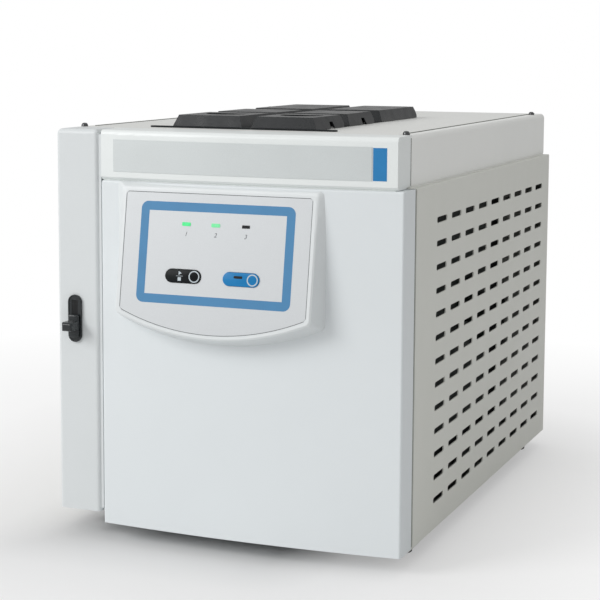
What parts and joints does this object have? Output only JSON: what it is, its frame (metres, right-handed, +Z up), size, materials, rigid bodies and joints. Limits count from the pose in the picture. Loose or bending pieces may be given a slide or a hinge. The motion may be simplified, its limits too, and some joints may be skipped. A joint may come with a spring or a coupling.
{
  "type": "gas chromatograph",
  "caption": "Bench gas chromatograph: bowed oven door with control panel, latch column, hinged module covers on top, slotted side, oven, fans and gas fittings inside.",
  "frame": {"origin": "middle of the footprint on the bench, below the centre of the bounding box", "axes": "+Z up, -Y out of the front door, +X to the right of a person facing the front"},
  "size_m": [0.44, 0.7346, 0.507],
  "materials": {
    "door_paint": "fine textured off-white paint",
    "fascia_plastic": "satin off-white moulding",
    "column_paint": "fine textured pale grey paint",
    "side_paint": "fine textured warm grey paint",
    "top_paint": "fine textured off-white paint",
    "label_silver": "satin plate",
    "bezel_plastic": "satin pale grey moulding",
    "overlay_film": "fine textured silver film",
    "key_black": "satin near-black key",
    "key_blue": "satin blue key",
    "lamp_lens": "glossy green lens",
    "cover_black": "satin near-black moulding",
    "screw_black": "black oxide",
    "latch_plastic": "satin dark grey",
    "rubber_black": "matt",
    "chassis_zinc": "zinc-plated sheet",
    "oven_stainless": "brushed stainless",
    "fibre_insulation": "pressed ceramic fibre",
    "heater_alloy": "dark oxidised alloy",
    "motor_casting": "cast, painted grey",
    "module_steel": "machined stainless",
    "gasket_silicone": "heat-resistant silicone",
    "circuit_board": "solder-resist green",
    "fitting_brass": "machined",
    "service_black": "moulded black"
  },
  "bodies": {
    "chassis": {"base_pan": "chassis_zinc", "feet": "rubber_black", "front_frame": "chassis_zinc", "left_column": "column_paint", "left_side_panel": "side_paint", "right_side_panel": "side_paint", "upper_side_panels": "side_paint", "top_cover": "top_paint", "fascia": "fascia_plastic", "label_plate": "label_silver", "rear_panel": "side_paint", "electronics_partition": "chassis_zinc", "front_strip": "cover_black", "top_screws": "screw_black", "oven_insulation": "fibre_insulation", "oven_liner": "oven_stainless", "oven_baffle": "oven_stainless", "heater_rings": "heater_alloy", "oven_motor": "motor_casting", "column_hanger": "oven_stainless", "injectors": "module_steel", "detectors": "module_steel", "electrometers": "motor_casting", "cover_ears": "chassis_zinc", "hinge_pins": "chassis_zinc", "hinge_brackets": "chassis_zinc", "latch_housing": "latch_plastic", "exhaust_duct": "chassis_zinc", "fan_frame": "service_black", "fan_guard": "chassis_zinc", "power_inlet": "service_black", "switch_frame": "service_black", "gas_inlets": "fitting_brass", "comm_ports": "service_black", "gas_manifold": "motor_casting", "main_board": "circuit_board", "power_supply": "chassis_zinc"},
    "door": {"door_skin": "door_paint", "door_inner_panel": "oven_stainless", "door_insulation": "fibre_insulation", "door_plug": "oven_stainless", "door_gasket": "gasket_silicone", "hinge_blocks": "chassis_zinc", "striker_plate": "chassis_zinc", "panel_bezel": "bezel_plastic", "panel_overlay": "overlay_film", "lamps": "lamp_lens"},
    "start_key": {"start_button": "key_black"},
    "standby_key": {"standby_button": "key_blue"},
    "latch": {"latch_lever": "latch_plastic"},
    "oven_rotor": {"oven_fan": "oven_stainless"},
    "cooling_rotor": {"cooling_fan": "service_black"},
    "flap": {"exhaust_flap": "chassis_zinc"},
    "rocker": {"mains_switch": "service_black"},
    "cover_front_left_lid": {"cover_front_left": "cover_black"},
    "cover_front_right_lid": {"cover_front_right": "cover_black"},
    "cover_mid_left_lid": {"cover_mid_left": "cover_black"},
    "cover_mid_right_lid": {"cover_mid_right": "cover_black"},
    "cover_rear_left_lid": {"cover_rear_left": "cover_black"},
    "cover_rear_right_lid": {"cover_rear_right": "cover_black"}
  },
  "joints": [
    {"name": "door_hinge", "type": "hinge", "parent": "chassis", "child": "door", "pos_m": [0.214, -0.2927, 0.2], "axis": [0, 0, 1], "range_deg": [0, 95]},
    {"name": "latch_slide", "type": "slide", "parent": "chassis", "child": "latch", "axis": [0, 0, 1], "range_m": [0, 0.018], "stiffness_N_per_m": 200, "springref_m": -0.005},
    {"name": "start_press", "type": "slide", "parent": "door", "child": "start_key", "axis": [0, 0.9877, -0.1564], "range_m": [0, 0.0008], "stiffness_N_per_m": 600, "springref_m": -0.001},
    {"name": "standby_press", "type": "slide", "parent": "door", "child": "standby_key", "axis": [0, 0.9877, -0.1564], "range_m": [0, 0.0008], "stiffness_N_per_m": 600, "springref_m": -0.001},
    {"name": "oven_fan_spin", "type": "hinge", "parent": "chassis", "child": "oven_rotor", "pos_m": [0.003, -0.03, 0.235], "axis": [0, 1, 0], "continuous": true},
    {"name": "cooling_fan_spin", "type": "hinge", "parent": "chassis", "child": "cooling_rotor", "pos_m": [0.112, 0.33, 0.19], "axis": [0, 1, 0], "continuous": true},
    {"name": "exhaust_flap_hinge", "type": "hinge", "parent": "chassis", "child": "flap", "pos_m": [-0.06, 0.3524, 0.359], "axis": [1, 0, 0], "range_deg": [0, 70]},
    {"name": "mains_rocker", "type": "hinge", "parent": "chassis", "child": "rocker", "pos_m": [-0.181, 0.342, 0.095], "axis": [1, 0, 0], "range_deg": [0, 12]},
    {"name": "cover_front_left_hinge", "type": "hinge", "parent": "chassis", "child": "cover_front_left_lid", "pos_m": [-0.0552, -0.1557, 0.4989], "axis": [-1, 0, 0], "range_deg": [0, 90]},
    {"name": "cover_front_right_hinge", "type": "hinge", "parent": "chassis", "child": "cover_front_right_lid", "pos_m": [0.04245, -0.1557, 0.4989], "axis": [-1, 0, 0], "range_deg": [0, 90]},
    {"name": "cover_mid_left_hinge", "type": "hinge", "parent": "chassis", "child": "cover_mid_left_lid", "pos_m": [-0.0552, -0.0447, 0.4989], "axis": [-1, 0, 0], "range_deg": [0, 90]},
    {"name": "cover_mid_right_hinge", "type": "hinge", "parent": "chassis", "child": "cover_mid_right_lid", "pos_m": [0.04245, -0.0447, 0.4989], "axis": [-1, 0, 0], "range_deg": [0, 90]},
    {"name": "cover_rear_left_hinge", "type": "hinge", "parent": "chassis", "child": "cover_rear_left_lid", "pos_m": [-0.0552, 0.1323, 0.4989], "axis": [-1, 0, 0], "range_deg": [0, 90]},
    {"name": "cover_rear_right_hinge", "type": "hinge", "parent": "chassis", "child": "cover_rear_right_lid", "pos_m": [0.04245, 0.1323, 0.4989], "axis": [-1, 0, 0], "range_deg": [0, 90]}
  ]
}
